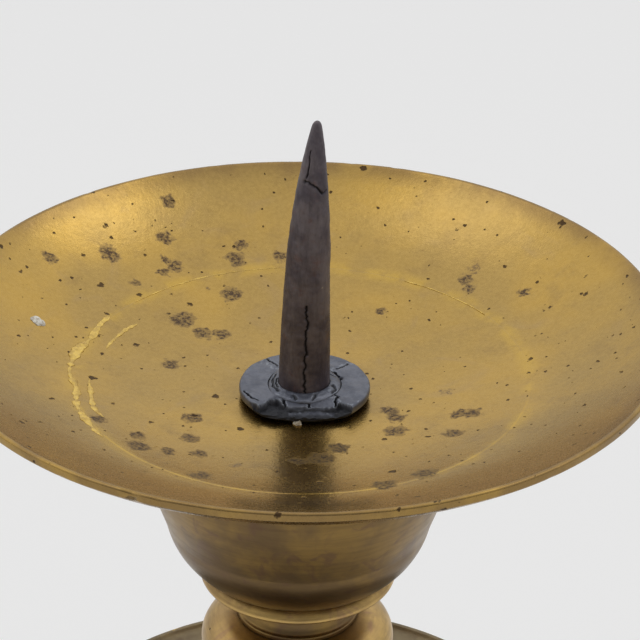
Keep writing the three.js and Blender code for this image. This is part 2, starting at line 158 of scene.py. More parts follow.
class Shader:
    """A node material. Places are in millimetres in the object's own frame."""

    def __init__(self, name):
        self.material = bpy.data.materials.new(name)
        self.material.use_nodes = True
        self.tree = self.material.node_tree
        self.bsdf = self.tree.nodes["Principled BSDF"]
        coordinates = self.node("TexCoord").outputs["Object"]
        self.place = self.vector("SCALE", coordinates, Scale=1000)

    def node(self, kind, sockets=None, **settings):
        made = self.tree.nodes.new("ShaderNode" + kind)
        for key, value in settings.items():
            setattr(made, key, value)
        for key, value in (sockets or {}).items():
            self.feed(made.inputs[key], value)
        return made

    def feed(self, socket, value):
        if isinstance(value, bpy.types.NodeSocket):
            self.tree.links.new(value, socket)
        elif isinstance(value, (tuple, list)) and len(value) == 3 and socket.type == "RGBA":
            socket.default_value = (*value, 1)
        else:
            socket.default_value = value

    def vector(self, operation, first, second=None, **sockets):
        made = self.node("VectorMath", {0: first, **sockets}, operation=operation)
        if second is not None:
            self.feed(made.inputs[1], second)
        return made.outputs["Value" if operation in ("LENGTH", "DISTANCE") else "Vector"]

    def math(self, operation, first, second=0.0, clamp=False):
        return self.node("Math", {0: first, 1: second}, operation=operation, use_clamp=clamp).outputs[0]

    def span(self, value, low, high, out_low=0.0, out_high=1.0):
        """value from low to high becomes out_low to out_high, smoothly and clamped."""
        sockets = {"Value": value, "From Min": low, "From Max": high, "To Min": out_low, "To Max": out_high}
        return self.node("MapRange", sockets, interpolation_type="SMOOTHSTEP").outputs[0]

    def noise(self, size, detail=3.0, rough=0.55, place=None, warp=0.0):
        """Noise from 0 to 1 whose lumps are about size millimetres across."""
        sockets = {"Vector": place or self.place, "Scale": 1 / size, "Detail": detail}
        return self.node("TexNoise", {**sockets, "Roughness": rough, "Distortion": warp}).outputs[0]

    def stretched(self, x, y, z):
        return self.vector("MULTIPLY", self.place, (x, y, z))

    def mix(self, share, first, second, blend="MIX"):
        made = self.node("Mix", data_type="RGBA", blend_type=blend)
        self.feed(made.inputs[0], share)
        self.feed(made.inputs[6], first)
        self.feed(made.inputs[7], second)
        return made.outputs[2]

    def specks(self, cell, size, share, seed=0.0):
        """Round specks up to size across, in a share of the cells of a random grid."""
        ragged = self.node("TexNoise", {"Vector": self.place, "Scale": 1.6 / size, "Detail": 2.0})
        shift = self.vector("SCALE", ragged.outputs["Color"], Scale=0.9 * size)
        moved = self.vector("ADD", self.vector("ADD", self.place, shift), (seed, seed * 0.7, seed * 0.3))
        cells = self.node("TexVoronoi", {"Vector": moved, "Scale": 1 / cell})
        chance = self.node("SeparateColor", {"Color": cells.outputs["Color"]})
        edge = self.math("MULTIPLY", chance.outputs[1], size / 2 / cell)
        depth = self.math("SUBTRACT", edge, cells.outputs["Distance"])
        speck = self.span(depth, 0, 0.15 * size / cell)
        kept = self.math("LESS_THAN", chance.outputs[0], share)
        return self.math("MULTIPLY", speck, kept)

    def painted(self, name):
        """A value painted on the mesh's points."""
        return self.node("Attribute", attribute_name=name).outputs["Fac"]

    def shade_and_dirt(self, reach, low=0.35, high=0.9):
        """Painted shade and dirt from ambient occlusion: 1 in a crease, 0 in the open."""
        shade = self.node("AmbientOcclusion", {"Distance": reach * MM}, samples=6)
        return self.span(shade.outputs["AO"], low, high, 1, 0)

    def worn(self, low=0.51, high=0.56):
        """1 along a proud edge."""
        return self.span(self.node("NewGeometry").outputs["Pointiness"], low, high)

    def surface(self, colour, roughness=0.5, metallic=1.0, height=None):
        """height is in millimetres."""
        self.feed(self.bsdf.inputs["Base Color"], colour)
        self.feed(self.bsdf.inputs["Roughness"], roughness)
        self.feed(self.bsdf.inputs["Metallic"], metallic)
        if height is not None:
            bump = self.node("Bump", {"Strength": 1.0, "Distance": MM, "Height": height})
            self.feed(self.bsdf.inputs["Normal"], bump.outputs[0])
        return self.material


def total(shader, *values):
    """The sum of several (share, value) pairs."""
    result = 0.0
    for share, value in values:
        result = shader.math("ADD", shader.math("MULTIPLY", value, share), result)
    return result


STAIN_SEED = 8
# Where the larger stains gather in the pan: angles round it from +X in degrees, distances from its
# middle and sizes in millimetres, each from and to, and how many stains there are.
STAIN_GROUPS = [
    ((95, 160), (50, 73), (3, 7), 11),
    ((110, 160), (30, 44), (4, 8), 6),
    ((190, 250), (24, 62), (5, 8), 8),
    ((255, 330), (20, 50), (5, 9), 7),
    ((30, 65), (33, 66), (3.5, 4.5), 4),
    ((325, 350), (18, 44), (5, 6), 4),
]


def scattered_stains():
    """A random angle, distance and size for each stain."""
    random = np.random.default_rng(STAIN_SEED)
    for angles, distances, sizes, count in STAIN_GROUPS:
        for _ in range(count):
            yield random.uniform(*angles), random.uniform(*distances), random.uniform(*sizes)


def stain_depth(shader):
    """1 in the middle of a stain, 0 at its edge and beyond."""
    warp = shader.node("TexNoise", {"Vector": shader.place, "Scale": 0.6, "Detail": 4.0}).outputs["Color"]
    shift = shader.vector("SCALE", shader.vector("SUBTRACT", warp, (0.5, 0.5, 0.5)), Scale=4.2)
    place = shader.vector("MULTIPLY", shader.vector("ADD", shader.place, shift), (1, 1, 0))
    deepest = 0.0
    for angle, radius, size in scattered_stains():
        turn = math.radians(angle)
        centre = (radius * math.cos(turn), radius * math.sin(turn), 0)
        away = shader.vector("DISTANCE", place, centre)
        depth = shader.math("SUBTRACT", 1.0, shader.math("MULTIPLY", away, 2.35 / size))
        deepest = shader.math("MAXIMUM", depth, deepest)
    return deepest


def pan_brass():
    """Golden, lightly spotted brass: stains with dark hearts, pits, turning marks and lacquer."""
    s = Shader("pan_brass")
    flat = s.vector("MULTIPLY", s.place, (1, 1, 0))
    radius = s.vector("LENGTH", flat)
    rings = s.node("CombineXYZ", {0: radius}).outputs[0]

    colour = s.mix(s.span(s.noise(34, 4), 0.35, 0.65), (0.47, 0.295, 0.072), (0.37, 0.243, 0.078))
    brown = s.span(s.noise(9, 5, 0.65), 0.5, 0.75)
    colour = s.mix(s.math("MULTIPLY", brown, 0.5), colour, (0.27, 0.175, 0.068))
    grain = s.span(s.noise(0.9, 3, 0.7), 0.3, 0.7)
    colour = s.mix(s.math("MULTIPLY", grain, 0.18), colour, (0.66, 0.45, 0.15))
    cloud = s.span(s.noise(18, 3, place=s.stretched(1, 1, 3), warp=1.5), 0.55, 0.8)
    colour = s.mix(s.math("MULTIPLY", cloud, 0.35), colour, (0.36, 0.25, 0.13))

    ring_band = s.math("ABSOLUTE", s.math("SUBTRACT", radius, 50.5))
    gold = s.math("MULTIPLY", s.span(ring_band, 0.3, 3.2, 1, 0), s.span(s.noise(7, 4), 0.42, 0.6))
    colour = s.mix(s.math("MULTIPLY", gold, 0.4), colour, (0.62, 0.40, 0.07))

    rim = s.math("MULTIPLY", s.span(radius, 74, 79.5), s.span(s.noise(12, 4), 0.35, 0.6, 0.4, 1))
    colour = s.mix(s.math("MULTIPLY", rim, 0.65), colour, (0.20, 0.125, 0.06))
    # Painted shade and dirt: a darker ring round the washer's seat, where the washer shades the pan.
    seat = s.math("MULTIPLY", s.span(radius, 14, 21, 1, 0), s.span(s.noise(4, 3), 0.3, 0.7, 0.4, 1))
    colour = s.mix(s.math("MULTIPLY", seat, 0.35), colour, (0.20, 0.135, 0.06))

    depth = stain_depth(s)
    halo = s.math("MULTIPLY", s.span(depth, 0.0, 0.18), s.span(s.noise(1.0, 3, 0.7), 0.3, 0.55, 0.35, 1))
    heart = s.math("MULTIPLY", s.span(depth, 0.12, 0.45), s.span(s.noise(0.7, 3, 0.7), 0.4, 0.6, 0.15, 1))
    colour = s.mix(s.math("MULTIPLY", halo, 0.5), colour, (0.20, 0.135, 0.07))
    colour = s.mix(s.math("MULTIPLY", heart, 0.88), colour, (0.05, 0.033, 0.03))

    pits = s.math("MAXIMUM", s.specks(4.6, 1.9, 0.55), s.specks(2.3, 0.95, 0.6, 31))
    dust = s.specks(1.4, 0.45, 0.5, 83)
    faded = s.span(s.noise(0.8, 3, 0.7), 0.4, 0.6, 0.1, 0.8)
    smudges = s.math("MULTIPLY", s.specks(11, 4.6, 0.5, 57), faded)
    colour = s.mix(s.math("MULTIPLY", dust, 0.5), colour, (0.22, 0.12, 0.04))
    colour = s.mix(smudges, colour, (0.16, 0.105, 0.06))
    colour = s.mix(s.math("MULTIPLY", pits, 0.9), colour, (0.06, 0.035, 0.02))

    roughness = total(s, (0.16, s.noise(6, 5, 0.7)), (0.18, halo), (0.25, pits), (0.12, s.noise(0.7, 2)))
    roughness = s.math("ADD", roughness, 0.12)
    height = total(
        s, (0.032, s.noise(1.3, 2)), (0.018, s.noise(0.45, 2)), (0.05, s.noise(7, 2)),
        (0.006, s.noise(0.35, 2, place=rings)), (-0.16, pits), (-0.03, heart),
    )
    return s.surface(colour, roughness, 1.0, height)


def stem_brass(name, light, dark, red):
    """Turned brass, browned with age, with fine lines round it, dirt and painted shade in creases, and worn
    edges.
    """
    s = Shader(name)
    colour = s.mix(s.span(s.noise(16, 4, 0.6), 0.38, 0.62), light, dark)
    colour = s.mix(s.math("MULTIPLY", s.span(s.noise(6, 4, 0.65, warp=1), 0.52, 0.7), 0.6), colour, red)
    lines = s.noise(1.6, 4, 0.7, place=s.stretched(0.12, 0.12, 1.6))
    colour = s.mix(s.span(lines, 0.35, 0.75, 0, 0.35), colour, (0.10, 0.06, 0.035))
    flecks = s.specks(3.4, 0.8, 0.35, 11)
    colour = s.mix(s.math("MULTIPLY", flecks, 0.75), colour, (0.05, 0.03, 0.02))
    wear = s.math("MULTIPLY", s.worn(), s.span(s.noise(3, 3), 0.3, 0.6, 0.3, 1))
    colour = s.mix(s.math("MULTIPLY", wear, 0.7), colour, (0.62, 0.42, 0.14))
    # Dirt and painted shade: creases darkened by ambient occlusion.
    crease_shade_and_dirt = s.math("MULTIPLY", s.shade_and_dirt(5), s.span(s.noise(2, 3), 0.25, 0.7, 0.5, 1))
    colour = s.mix(s.math("MULTIPLY", crease_shade_and_dirt, 0.6), colour, (0.06, 0.038, 0.022))
    roughness = total(s, (0.2, s.noise(5, 4, 0.7)), (0.14, lines), (0.25, crease_shade_and_dirt), (-0.08, wear))
    roughness = s.math("ADD", roughness, 0.16)
    height = total(
        s, (0.012, lines), (0.012, s.noise(0.8, 3)), (0.06, s.noise(8, 2)), (-0.1, flecks),
    )
    return s.surface(colour, roughness, 1.0, height)


def forged_iron():
    """Dark forged iron with rust along its edges and open cracks."""
    s = Shader("forged_iron")
    colour = s.mix(s.span(s.noise(7, 4, 0.6), 0.35, 0.65), (0.072, 0.059, 0.075), (0.165, 0.140, 0.150))
    rust = s.span(s.noise(3, 5, 0.7), 0.55, 0.75)
    colour = s.mix(s.math("MULTIPLY", rust, 0.6), colour, (0.155, 0.075, 0.068))
    grain = s.noise(0.9, 4, 0.7, place=s.stretched(1, 1, 0.2))
    colour = s.mix(s.span(grain, 0.4, 0.8, 0, 0.4), colour, (0.025, 0.02, 0.02))
    colour = s.mix(s.specks(4.5, 0.55, 0.35, 5), colour, (0.30, 0.26, 0.22))
    colour = s.mix(s.painted("crack_and_shade"), colour, (0.004, 0.003, 0.003))
    roughness = total(s, (0.28, s.noise(2, 4, 0.7)), (0.3, s.painted("crack_and_shade")))
    roughness = s.math("ADD", roughness, 0.42)
    height = total(s, (0.11, s.noise(1.2, 4, 0.6)), (0.07, grain), (0.2, s.noise(4, 2)))
    return s.surface(colour, roughness, 0.25, height)


def grey_lead():
    """Dull blue-grey metal, cracked, worn bright on top and black in its cracks, with painted shade in its
    creases, on its broken-off lower layer and low on its side.
    """
    s = Shader("grey_lead")
    colour = s.mix(s.span(s.noise(3.5, 4, 0.6), 0.35, 0.65), (0.095, 0.105, 0.138), (0.158, 0.168, 0.205))
    blue = s.span(s.noise(0.8, 4, 0.7), 0.5, 0.75)
    colour = s.mix(s.math("MULTIPLY", blue, 0.5), colour, (0.05, 0.055, 0.075))
    colour = s.mix(s.math("MULTIPLY", s.worn(0.51, 0.55), 0.5), colour, (0.30, 0.33, 0.38))
    # Painted shade and dirt: creases, such as the groove round the packing, darkened almost to black by
    # ambient occlusion.
    colour = s.mix(s.math("MULTIPLY", s.shade_and_dirt(1.5), 0.8), colour, (0.012, 0.012, 0.016))
    # The crack attribute holds the cracks and, on the washer, painted shade.
    colour = s.mix(s.painted("crack_and_shade"), colour, (0.003, 0.003, 0.005))
    roughness = total(s, (0.25, s.noise(1.5, 4, 0.7)), (0.4, s.painted("crack_and_shade")))
    roughness = s.math("ADD", roughness, 0.27)
    height = total(s, (0.07, s.noise(0.9, 4, 0.65)), (0.1, s.noise(2.5, 3)))
    metallic = s.math("MULTIPLY", s.math("SUBTRACT", 1.0, s.painted("crack_and_shade")), 0.45)
    return s.surface(colour, roughness, metallic, height)


def rusty_iron():
    """Black iron with a bloom of rust, under the base."""
    s = Shader("rusty_iron")
    colour = s.mix(s.span(s.noise(5, 5, 0.65), 0.42, 0.62), (0.05, 0.045, 0.042), (0.16, 0.07, 0.035))
    colour = s.mix(s.math("MULTIPLY", s.worn(), 0.5), colour, (0.25, 0.23, 0.21))
    roughness = s.math("ADD", total(s, (0.3, s.noise(2, 4, 0.7))), 0.45)
    return s.surface(colour, roughness, 0.7, total(s, (0.15, s.noise(1.0, 4, 0.65))))


def old_lacquer():
    """Yellow lacquer or polish left in the turn of the pan."""
    s = Shader("old_lacquer")
    colour = s.mix(s.span(s.noise(1.5, 3), 0.35, 0.65), (0.80, 0.55, 0.12), (0.55, 0.36, 0.08))
    return s.surface(colour, 0.3, 0.45, total(s, (0.12, s.noise(0.7, 3))))


def candle_wax():
    s = Shader("candle_wax")
    colour = s.mix(s.span(s.noise(0.8, 3), 0.35, 0.65), (0.82, 0.80, 0.72), (0.45, 0.40, 0.32))
    return s.surface(colour, 0.45, 0.0, total(s, (0.15, s.noise(0.6, 3))))


# ---------------------------------------------------------------- outlines and turned meshes

def bezier(p0, p1, p2, p3, count=40):
    """Points along a cubic curve, without its first."""
    t = np.linspace(0, 1, count + 1)[1:, None]
    p0, p1, p2, p3 = (np.array(p, float) for p in (p0, p1, p2, p3))
    return list((1 - t) ** 3 * p0 + 3 * (1 - t) ** 2 * t * p1 + 3 * (1 - t) * t * t * p2 + t ** 3 * p3)


def outline(start, *moves):
    """(radius, height) points in mm. A move is a point, or the last three points of a cubic."""
    points = [np.array(start, float)]
    for move in moves:
        if isinstance(move[0], tuple):
            points += bezier(points[-1], *move)
        else:
            points.append(np.array(move, float))
    return np.array(points)


SAMPLE = 0.1  # mm between the points that an outline is rounded at


def softened(points, edge, spacing, closed=True):
    """The outline with its corners rounded by about edge mm, thinned where it is straight."""
    if closed:
        points = np.vstack([points, points[:1]])
    steps = np.hypot(*np.diff(points, axis=0).T)
    along = np.concatenate([[0], np.cumsum(steps)])
    count = int(along[-1] / SAMPLE)
    at = np.linspace(0, along[-1], count, endpoint=not closed)
    fine = np.stack([np.interp(at, along, points[:, k]) for k in (0, 1)], 1)
    reach = max(2, int(edge * 3 / SAMPLE))
    weights = np.exp(-0.5 * (np.arange(-reach, reach + 1) * SAMPLE / edge) ** 2)
    weights /= weights.sum()
    if closed:
        padded = np.vstack([fine[-reach:], fine, fine[:reach]])
    else:
        padded = np.vstack([2 * fine[0] - fine[reach:0:-1], fine, 2 * fine[-1] - fine[-2:-reach - 2:-1]])
    smooth = np.stack([np.convolve(padded[:, k], weights, "valid") for k in (0, 1)], 1)
    if not closed:
        smooth[0], smooth[-1] = fine[0], fine[-1]
    return thinned(smooth, 0.004, spacing, closed)


def thinned(points, tolerance, spacing, closed):
    """Every point that the shape needs within tolerance, no further apart than spacing."""
    kept = [0]
    last = len(points) - 1
    while kept[-1] < last:
        start = kept[-1]
        end = start + 1
        while end < last:
            chord = points[end + 1] - points[start]
            length = math.hypot(*chord)
            if length > spacing:
                break
            between = points[start + 1:end + 1] - points[start]
            off = np.abs(between[:, 0] * chord[1] - between[:, 1] * chord[0]) / max(length, 1e-9)
            if off.max() > tolerance:
                break
            end += 1
        kept.append(end)
    if closed and np.hypot(*(points[kept[-1]] - points[0])) < SAMPLE * 0.9:
        kept.pop()
    return points[kept]


def lattice_noise(points, size, seed):
    """Smooth noise from -1 to 1 at points, with lumps about size across."""
    scaled = points / size + 1000.0
    cell = np.floor(scaled).astype(np.int64)
    part = scaled - cell
    part = part * part * (3 - 2 * part)
    table = np.random.default_rng(seed).uniform(-1, 1, 4096)
    result = np.zeros(len(points))
    for corner in itertools.product((0, 1), repeat=points.shape[1]):
        corner = np.array(corner)
        key = ((cell + corner) * np.array([73856093, 19349663, 83492791])[:len(corner)]).sum(1)
        weight = np.prod(np.where(corner, part, 1 - part), axis=1)
        result += weight * table[np.abs(key) % 4096]
    return result


def turned(name, points, segments, centre=(0, 0), closed=True, shape=None):
    """A mesh turned about the vertical line through centre. shape moves its points, in mm."""
    angle = np.linspace(0, 2 * math.pi, segments, endpoint=False)
    rings = len(points)
    r = np.repeat(points[:, 0], segments)
    z = np.repeat(points[:, 1], segments)
    a = np.tile(angle, rings)
    paint = None
    if shape is not None:
        r, a, z, paint = shape(r, a, z)
    places = np.stack([r * np.cos(a) + centre[0], r * np.sin(a) + centre[1], z], 1) * MM
    index = np.arange(rings * segments).reshape(rings, segments)
    if closed:
        lower, upper = index, np.roll(index, -1, axis=0)
    else:
        lower, upper = index[:-1], index[1:]
    quads = np.stack([lower, np.roll(lower, -1, 1), np.roll(upper, -1, 1), upper], -1).reshape(-1, 4)
    if not closed:
        places, quads = with_poles(places, quads, index)
    return solid(name, places, quads, paint)


def with_poles(places, faces, index):
    """Joins the first and last rings, which lie on the axis, into single points."""
    swap = np.arange(len(places))
    swap[index[0]] = index[0][0]
    swap[index[-1]] = index[-1][0]
    result = []
    for face in swap[faces]:
        corners = list(dict.fromkeys(face.tolist()))
        if len(corners) > 2:
            result.append(corners)
    return places, result


def solid(name, places, faces, paint=None):
    """A smooth mesh object whose faces point out. paint holds a value for each point."""
    mesh = bpy.data.meshes.new(name)
    faces = [list(map(int, f)) for f in faces]
    mesh.from_pydata(places.tolist(), [], faces)
    if paint is not None:
        attribute = mesh.attributes.new("crack_and_shade", "FLOAT", "POINT")
        attribute.data.foreach_set("value", paint.astype(np.float32))
    work = bmesh.new()
    work.from_mesh(mesh)
    loose = [v for v in work.verts if not v.link_faces]
    bmesh.ops.delete(work, geom=loose, context="VERTS")
    if work.calc_volume(signed=True) < 0:
        bmesh.ops.reverse_faces(work, faces=work.faces)
    work.to_mesh(mesh)
    work.free()
    mesh.polygons.foreach_set("use_smooth", [True] * len(mesh.polygons))
    made = bpy.data.objects.new(name, mesh)
    bpy.context.scene.collection.objects.link(made)
    return made


def cast_skin(depth, size, seed):
    """The slight unevenness of old metal: moves points in and out by up to depth mm."""
    def move(r, a, z):
        places = np.stack([r * np.cos(a), r * np.sin(a), z], 1)
        wobble = lattice_noise(places, size, seed) + 0.4 * lattice_noise(places, size * 0.35, seed + 1)
        return r + depth * wobble, a, z + 0.4 * depth * wobble, None
    return move


def place_piece(piece, node, slot, material):
    """Hands a finished piece to the frame."""
    piece.data.materials.append(material)
    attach(piece, "root")
    if node:
        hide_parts(node)
    return piece


def span_of(node):
    """A node's lowest and highest height and its outer radius, in mm."""
    low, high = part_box(node)
    return low.z / MM, high.z / MM, (high.y - low.y) / 2 / MM


def middle_of(node):
    """Where the node's axis is, in mm."""
    low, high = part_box(node)
    return (low.x + high.x) / 2 / MM, (low.y + high.y) / 2 / MM


# ---------------------------------------------------------------- the pan

BORE = 4.7
PAN_DEPTH = 19
PAN_RING = 50.5          # radius of the turned line where the brim begins
PAN_RING_RISE = 5.5
PAN_SEAT = 40
PAN_FLAT = 16.5
NICK_ANGLE = 245         # degrees from +X
NICK_WIDTH = 0.9         # degrees


def pan_top(rim, radius):
    """The pan's upper side from the rim in to the flat middle."""
    floor = rim - PAN_DEPTH
    ring = floor + PAN_RING_RISE
    return [
        ((radius * 0.885, rim - 6), (radius * 0.75, ring + 2), (PAN_RING + 0.3, ring + 0.03)),
        (PAN_RING, ring - 0.07),
        (PAN_RING - 0.3, ring - 0.02),
        ((PAN_RING * 0.8, ring - 3), (PAN_RING * 0.55, floor), (PAN_FLAT, floor)),
    ]


def pan_height(at):
    """The height of the pan's upper side at these distances from its middle."""
    _, rim, radius = span_of("drip_pan")
    points = outline((radius - 1, rim), *pan_top(rim, radius))[::-1]
    return np.interp(at, points[:, 0], points[:, 1])


def make_pan(material):
    seat, rim, radius = span_of("drip_pan")
    floor = rim - PAN_DEPTH
    ring = floor + PAN_RING_RISE
    points = outline(
        (BORE, seat), (PAN_SEAT, seat),
        ((PAN_SEAT + 2, seat), (PAN_SEAT + 3.5, seat + 0.9), (PAN_SEAT + 5, seat + 2)),
        (PAN_RING, ring - 2.2),
        ((radius * 0.76, ring - 0.4), (radius * 0.9, rim - 8.4), (radius - 0.2, rim - 2)),
        (radius, rim - 1.7), (radius, rim - 0.3), (radius - 0.3, rim), (radius - 1, rim),
        *pan_top(rim, radius), (BORE, floor),
    )

    def shape(r, a, z):
        places = np.stack([r * np.cos(a), r * np.sin(a), z], 1)
        z = z + 0.10 * lattice_noise(places, 26, 3) + 0.025 * lattice_noise(places, 7, 4)
        edge = np.clip((r - radius + 2) / 1.6, 0, 1)
        turn = (np.degrees(a) - NICK_ANGLE) / NICK_WIDTH
        nick = np.exp(-turn ** 2) * edge
        chips = np.clip(lattice_noise(places, 2.2, 9) - 0.45, 0, 1) * edge
        r = r + 0.07 * edge * lattice_noise(places, 9, 6) - 0.5 * nick - 0.35 * chips
        return r, a, z - 0.45 * nick * (z > rim - 1.5) - 0.2 * chips * (z > rim - 1), None

    pan = turned("drip_pan_skin", softened(points, 0.13, 1.2), 480, shape=shape)
    return place_piece(pan, "drip_pan", "pan_brass", material)


def residue(name, start, end, radius, width, height, seed, material):
    """A ragged film of lacquer along the pan's turned line, between two angles in degrees."""
    steps = int((end - start) * radius * math.pi / 180 / 0.22)
    angle = np.radians(np.linspace(start, end, steps))
    along = np.stack([np.degrees(angle), np.zeros(steps)], 1)
    taper = np.sin(np.linspace(0, math.pi, steps)) ** 0.4
    ragged = 0.62 + 0.5 * lattice_noise(along, 4.0, seed) + 0.3 * lattice_noise(along, 1.1, seed + 1)
    half = width / 2 * taper * np.clip(ragged, 0.07, 1.4)
    middle = radius + 0.5 * width * lattice_noise(along, 9.0, seed + 2)
    across = np.linspace(-1, 1, 11)
    r = middle[:, None] + half[:, None] * across[None, :]
    grid = np.stack([r * np.cos(angle)[:, None], r * np.sin(angle)[:, None]], -1).reshape(-1, 2)
    lumps = 0.7 + 0.5 * lattice_noise(grid, 0.9, seed + 3).reshape(steps, -1)
    dome = (1 - across[None, :] ** 2) * np.clip(half / width * 2.5, 0.1, 1)[:, None] * height
    top = pan_height(r) + 0.1 + dome * np.clip(lumps, 0.2, 1.5)
    under = (pan_height(r) - 0.35)[:, 1:-1]
    inner = r[:, 1:-1]
    loop_r = np.hstack([r, inner[:, ::-1]])
    loop_z = np.hstack([top, under[:, ::-1]])
    x, y = loop_r * np.cos(angle)[:, None], loop_r * np.sin(angle)[:, None]
    places = np.stack([x, y, loop_z], -1).reshape(-1, 3) * MM
    index = np.arange(len(places)).reshape(steps, -1)
    low, high = index[:-1], index[1:]
    quads = np.stack([low, np.roll(low, -1, 1), np.roll(high, -1, 1), high], -1).reshape(-1, 4).tolist()
    film = solid(name, places, quads + [index[0].tolist(), index[-1][::-1].tolist()])
    return place_piece(film, None, "pan_brass", material)


def drop(name, angle, radius, size, height, seed, material):
    """A small hardened drop of wax lying on the pan."""
    rings, segments = 14, 40
    turn = math.radians(angle)
    centre = np.array([radius * math.cos(turn), radius * math.sin(turn)])
    share = np.linspace(1, 0, rings)
    a = np.linspace(0, 2 * math.pi, segments, endpoint=False)
    reach = 1 + 0.28 * lattice_noise(np.stack([np.cos(a), np.sin(a)], 1) * 2, 1.0, seed)
    x = centre[0] + size / 2 * share[:, None] * (np.cos(a) * reach)[None, :]
    y = centre[1] + size / 2 * share[:, None] * (np.sin(a) * reach)[None, :]
    grid = np.stack([x, y], -1).reshape(-1, 2)
    lumps = lattice_noise(grid, size / 4, seed + 1).reshape(rings, segments)
    lumps[-1] = lumps[-1].mean()
    dome = height * np.sqrt(1 - share[:, None] ** 2) * (1 + 0.35 * lumps)
    base = pan_height(np.hypot(x, y))
    top = np.stack([x, y, base + dome], -1).reshape(-1, 3)
    foot = np.stack([x[0], y[0], base[0] - 0.4], -1)
    places = np.vstack([foot, top]) * MM
    index = np.arange(len(places)).reshape(rings + 1, segments)
    low, high = index[:-1], index[1:]
    quads = np.stack([low, np.roll(low, -1, 1), np.roll(high, -1, 1), high], -1).reshape(-1, 4)
    swap = np.arange(len(places))
    swap[index[-1]] = index[-1][0]
    faces = [list(dict.fromkeys(f)) for f in swap[quads].tolist()]
    wax = solid(name, places, faces + [index[0][::-1].tolist()])
    return place_piece(wax, None, "pan_brass", material)


# ---------------------------------------------------------------- spike, washer and packing

def to_line(x, y, points):
    """How far the points (x, y) are from a broken line."""
    nearest = np.full(len(x), 1e9)
    for (ax, ay), (bx, by) in zip(points[:-1], points[1:]):
        dx, dy = bx - ax, by - ay
        t = np.clip(((x - ax) * dx + (y - ay) * dy) / (dx * dx + dy * dy), 0, 1)
        nearest = np.minimum(nearest, np.hypot(x - ax - t * dx, y - ay - t * dy))
    return nearest


def cracked(x, y, lines, width, seed):
    """1 in the ragged cracks that run along these lines, 0 away from them."""
    places = np.stack([x, y], 1)
    x = x + 0.28 * lattice_noise(places, 1.7, seed) + 0.14 * lattice_noise(places, 0.5, seed + 1)
    y = y + 0.28 * lattice_noise(places, 1.7, seed + 2) + 0.14 * lattice_noise(places, 0.5, seed + 3)
    deepest = np.zeros(len(x))
    for line in lines:
        deepest = np.maximum(deepest, np.exp(-(to_line(x, y, line) / width) ** 2))
    return deepest


SPIKE_RADIUS = 5.6
SPIKE_BEND = 2.15          # mm at the tip, towards +X
SPIKE_BEND_CURVE = 1.8
SPIKE_SET = -0.13          # mm along X from the CAD spike's middle
# Cracks in the spike as (degrees round it from +X, mm above its foot).
SPIKE_CRACKS = [
    [(271, 3), (270, 9), (273, 15), (274, 20), (271, 25)],
    [(243, 60.7), (242, 58.0), (239, 54.6)],
    [(234, 53.9), (254, 53.9), (290, 52.0), (308, 51.3), (332, 51.2)],
    [(40, 8), (46, 17), (43, 26)],
    [(150, 14), (146, 30), (152, 41)],
    [(95, 30), (101, 38), (97, 47)],
]
SPIKE_PIT = (234, 53.8)


def make_spike(material):
    foot, tip, _ = span_of("pricket_spike")
    tall = tip - foot
    radius = SPIKE_RADIUS
    side = outline(
        (radius, 0), (radius, 3),
        ((radius * 0.97, tall * 0.403), (radius * 0.804, tall * 0.724), (1.15, tall - 1.6)),
        ((0.95, tall - 0.5), (0.5, tall), (0, tall)),
    )
    steps = np.concatenate([[0], np.cumsum(np.hypot(*np.diff(side, axis=0).T))])
    at = np.linspace(0, steps[-1], 330)
    fine = np.stack([np.interp(at, steps, side[:, k]) for k in (0, 1)], 1)
    points = np.vstack([[(0, 0), (radius * 0.5, 0), (radius - 0.2, 0)], fine])

    def shape(r, a, z):
        arc = np.degrees(a)
        places = np.stack([r * np.cos(a), r * np.sin(a), z], 1)
        near = np.clip(r, 1.5, 9) / 57.3
        gaps = np.zeros(len(r))
        for number, line in enumerate(SPIKE_CRACKS):
            turn = line[0][0]
            flat = [((t - turn) * SPIKE_RADIUS * 0.7 / 57.3, up) for t, up in line]
            across = (arc - turn) * near * (SPIKE_RADIUS * 0.7 / np.clip(r, 1.5, 9))
            gaps = np.maximum(gaps, cracked(across, z, [flat], 0.2, 20 + 7 * number))
        pit = np.hypot((arc - SPIKE_PIT[0]) * near, z - SPIKE_PIT[1])
        gaps = np.maximum(gaps, np.exp(-(pit / 0.35) ** 2)) * (r > 0.9)
        flats = 0.16 * lattice_noise(places * np.array([1, 1, 0.35]), 4.5, 12)
        hammer = 0.07 * lattice_noise(places, 2.2, 13) + 0.035 * lattice_noise(places, 0.8, 14)
        r = np.where(r > 0.05, np.maximum(r + (flats + hammer) * np.clip(r / 3, 0, 1) - 0.55 * gaps, 0), 0)
        return r, a, z, gaps

    spike = turned("pricket_spike_skin", points, 200, closed=False, shape=shape)
    low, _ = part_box("pricket_spike")
    middle = low.x / MM + SPIKE_RADIUS + SPIKE_SET
    rise = np.array([v.co for v in spike.data.vertices])
    share = np.clip(rise[:, 2] / MM / tall, 0, 1)
    rise[:, 0] += (middle + SPIKE_BEND * share ** SPIKE_BEND_CURVE) * MM
    rise[:, 2] += foot * MM
    spike.data.vertices.foreach_set("co", rise.ravel())
    return place_piece(spike, "pricket_spike", "forged_iron", material)


WASHER_HOLE = 8.1
WASHER_RADIUS = 14.5
WASHER_FOOT = 12.9
WASHER_FLAT = 0.775        # its broken front stands this share of its radius from its middle
WASHER_SET = 0.13          # mm along X from the CAD washer's middle
# Where the washer's upper layer has broken off, as (x, y) in mm from its middle.
WASHER_BREAK = [
    (-14.5, -5.0), (-12.8, -7.2), (-9.9, -9.6), (-8.8, -8.6), (-7.6, -7.0), (-5.9, -6.9), (-4.9, -8.2),
    (-3.4, -9.3), (-0.6, -9.7), (1.6, -9.3), (4.2, -9.9), (6.9, -9.6), (7.6, -7.9), (9.2, -8.6),
    (10.6, -9.9), (12.8, -7.2), (14.5, -5.0),
]
